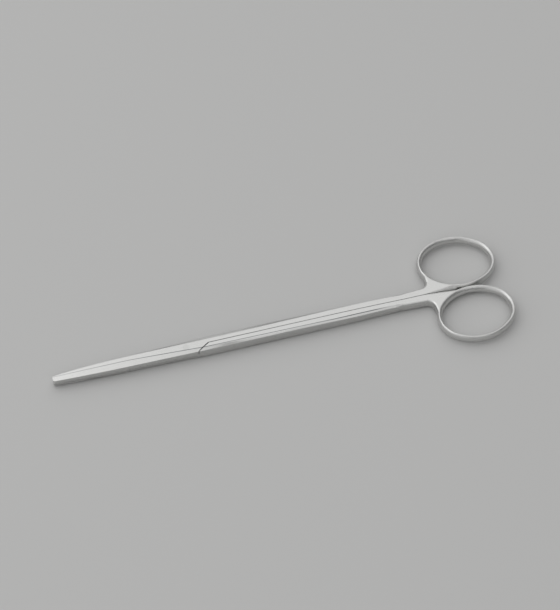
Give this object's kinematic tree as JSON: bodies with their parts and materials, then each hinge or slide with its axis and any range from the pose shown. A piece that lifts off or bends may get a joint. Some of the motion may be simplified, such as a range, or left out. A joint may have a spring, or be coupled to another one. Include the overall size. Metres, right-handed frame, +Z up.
{
  "type": "dissecting scissors",
  "caption": "Slim straight surgical scissors for dissecting tissue, with short blades, long shanks, a screwed lap joint and oval finger rings, shown closed and lying flat.",
  "frame": {"origin": "under the middle of the closed pair, in the plane that the joint's flat underside rests on", "axes": "+X from the joint to the finger rings, +Y to the upper half's finger ring, +Z up out of the flat upper side"},
  "size_m": [0.1804, 0.0508, 0.0049],
  "materials": {
    "forged_steel": "ground and polished stainless steel with fine grinding lines along the length",
    "screw_steel": "turned stainless steel with a slotted head"
  },
  "bodies": {
    "lower": {"lower_half": "forged_steel"},
    "upper": {"upper_half": "forged_steel", "joint_screw": "screw_steel"}
  },
  "joints": [
    {"name": "screw_joint", "type": "hinge", "parent": "lower", "child": "upper", "pos_m": [-0.03812, 0, 0], "axis": [0, 0, 1], "range_deg": [0, 80]}
  ]
}
